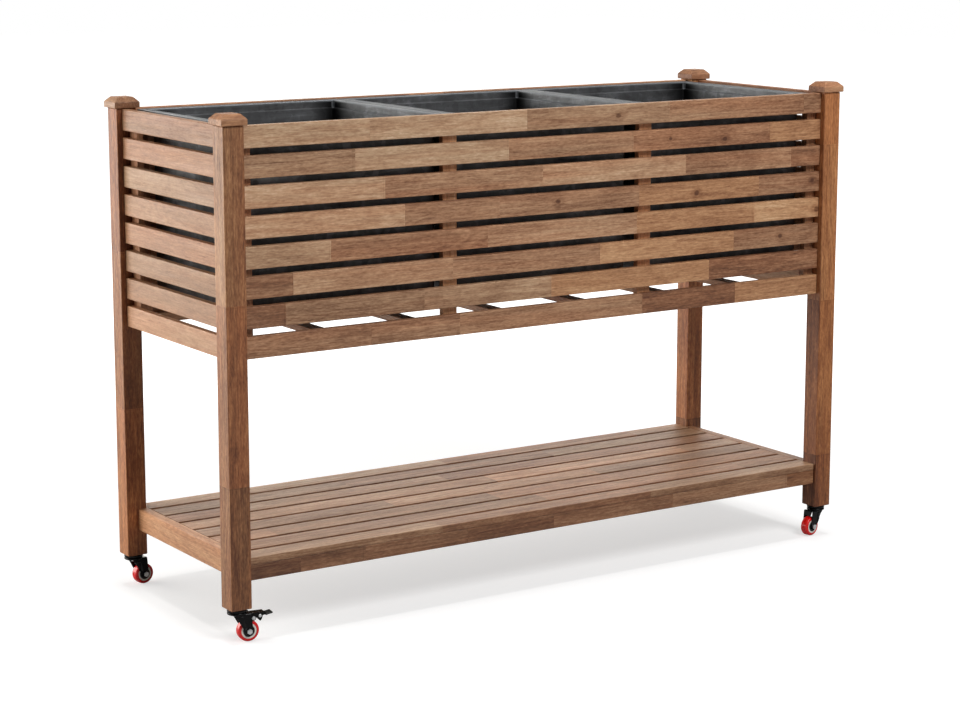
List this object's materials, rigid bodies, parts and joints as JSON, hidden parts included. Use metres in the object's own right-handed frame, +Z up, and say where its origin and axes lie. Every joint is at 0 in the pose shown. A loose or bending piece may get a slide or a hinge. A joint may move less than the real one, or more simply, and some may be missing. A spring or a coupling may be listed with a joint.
{
  "type": "planter",
  "caption": "Raised wooden planter on castors: slatted box on square posts with removable metal trays, above a slatted shelf.",
  "frame": {"origin": "on the floor, under the middle of the planter", "axes": "+X along the length, towards the right end seen from the front; +Y from front to back; +Z up"},
  "size_m": [1.2084, 0.4148, 0.8115],
  "materials": {
    "post_wood": "oiled hardwood, semi-matt",
    "cap_wood": "oiled hardwood, semi-matt",
    "front_wood": "oiled hardwood, finger-jointed, semi-matt",
    "side_wood": "oiled hardwood, semi-matt",
    "inner_wood": "oiled hardwood, matt",
    "shelf_wood": "oiled hardwood, semi-matt",
    "tray_zinc": "galvanised sheet, dull grey",
    "castor_black": "gloss black",
    "bright_steel": "bright plated",
    "wheel_cream": "cream, with a black hub face",
    "tyre_red": "smooth red"
  },
  "bodies": {
    "root": {"post_front_left": "post_wood", "post_front_right": "post_wood", "post_back_left": "post_wood", "post_back_right": "post_wood", "cap_front_left": "cap_wood", "cap_front_right": "cap_wood", "cap_back_left": "cap_wood", "cap_back_right": "cap_wood", "front_board_1": "front_wood", "front_board_2": "front_wood", "front_board_3": "front_wood", "front_board_4": "front_wood", "front_board_5": "front_wood", "front_board_6": "front_wood", "front_board_7": "front_wood", "front_board_8": "front_wood", "front_frame": "inner_wood", "back_panel": "front_wood", "left_panel": "side_wood", "right_panel": "side_wood", "tray_bar_1": "inner_wood", "tray_bar_2": "inner_wood", "tray_bar_3": "inner_wood", "tray_bar_4": "inner_wood", "tray_bar_5": "inner_wood", "tray_bar_6": "inner_wood", "shelf_slat_1": "shelf_wood", "shelf_slat_2": "shelf_wood", "shelf_slat_3": "shelf_wood", "shelf_slat_4": "shelf_wood", "shelf_slat_5": "shelf_wood", "shelf_slat_6": "shelf_wood", "shelf_slat_7": "shelf_wood", "shelf_slat_8": "shelf_wood", "shelf_frame": "shelf_wood", "castor_front_left_stem": "castor_black", "castor_front_right_stem": "castor_black", "castor_back_left_stem": "castor_black", "castor_back_right_stem": "castor_black"},
    "tray_left": {"tray_left": "tray_zinc"},
    "tray_middle": {"tray_middle": "tray_zinc"},
    "tray_right": {"tray_right": "tray_zinc"},
    "front_left_swivel": {"castor_front_left_fork": "castor_black", "castor_front_left_axle": "bright_steel"},
    "front_left_wheel": {"castor_front_left_wheel": "wheel_cream", "castor_front_left_tyre": "tyre_red"},
    "front_left_brake": {"castor_front_left_brake_lever": "castor_black"},
    "front_right_swivel": {"castor_front_right_fork": "castor_black", "castor_front_right_axle": "bright_steel"},
    "front_right_wheel": {"castor_front_right_wheel": "wheel_cream", "castor_front_right_tyre": "tyre_red"},
    "back_left_swivel": {"castor_back_left_fork": "castor_black", "castor_back_left_axle": "bright_steel"},
    "back_left_wheel": {"castor_back_left_wheel": "wheel_cream", "castor_back_left_tyre": "tyre_red"},
    "back_right_swivel": {"castor_back_right_fork": "castor_black", "castor_back_right_axle": "bright_steel"},
    "back_right_wheel": {"castor_back_right_wheel": "wheel_cream", "castor_back_right_tyre": "tyre_red"},
    "back_right_brake": {"castor_back_right_brake_lever": "castor_black"}
  },
  "joints": [
    {"name": "tray_left_lift", "type": "slide", "parent": "root", "child": "tray_left", "axis": [0, 0, 1], "range_m": [0, 0.36]},
    {"name": "tray_middle_lift", "type": "slide", "parent": "root", "child": "tray_middle", "axis": [0, 0, 1], "range_m": [0, 0.36]},
    {"name": "tray_right_lift", "type": "slide", "parent": "root", "child": "tray_right", "axis": [0, 0, 1], "range_m": [0, 0.36]},
    {"name": "front_left_swivel", "type": "hinge", "parent": "root", "child": "front_left_swivel", "pos_m": [-0.5825, -0.1857, 0.0537], "axis": [0, 0, 1], "continuous": true},
    {"name": "front_left_roll", "type": "hinge", "parent": "front_left_swivel", "child": "front_left_wheel", "pos_m": [-0.5662, -0.18828, 0.017], "axis": [0.1564, 0.9877, 0], "continuous": true},
    {"name": "front_left_brake", "type": "hinge", "parent": "front_left_swivel", "child": "front_left_brake", "pos_m": [-0.55949, -0.18934, 0.0377], "axis": [0.1564, 0.9877, 0], "range_deg": [0, 25]},
    {"name": "front_right_swivel", "type": "hinge", "parent": "root", "child": "front_right_swivel", "pos_m": [0.5825, -0.1857, 0.0537], "axis": [0, 0, 1], "continuous": true},
    {"name": "front_right_roll", "type": "hinge", "parent": "front_right_swivel", "child": "front_right_wheel", "pos_m": [0.5663, -0.18885, 0.017], "axis": [0.1908, -0.9816, 0], "continuous": true},
    {"name": "back_left_swivel", "type": "hinge", "parent": "root", "child": "back_left_swivel", "pos_m": [-0.5825, 0.1857, 0.0537], "axis": [0, 0, 1], "continuous": true},
    {"name": "back_left_roll", "type": "hinge", "parent": "back_left_swivel", "child": "back_left_wheel", "pos_m": [-0.56609, 0.18742, 0.017], "axis": [-0.1045, 0.9945, 0], "continuous": true},
    {"name": "back_right_swivel", "type": "hinge", "parent": "root", "child": "back_right_swivel", "pos_m": [0.5825, 0.1857, 0.0537], "axis": [0, 0, 1], "continuous": true},
    {"name": "back_right_roll", "type": "hinge", "parent": "back_right_swivel", "child": "back_right_wheel", "pos_m": [0.56616, 0.188, 0.017], "axis": [-0.1392, -0.9903, 0], "continuous": true},
    {"name": "back_right_brake", "type": "hinge", "parent": "back_right_swivel", "child": "back_right_brake", "pos_m": [0.55943, 0.18894, 0.0377], "axis": [-0.1392, -0.9903, 0], "range_deg": [0, 25]}
  ]
}
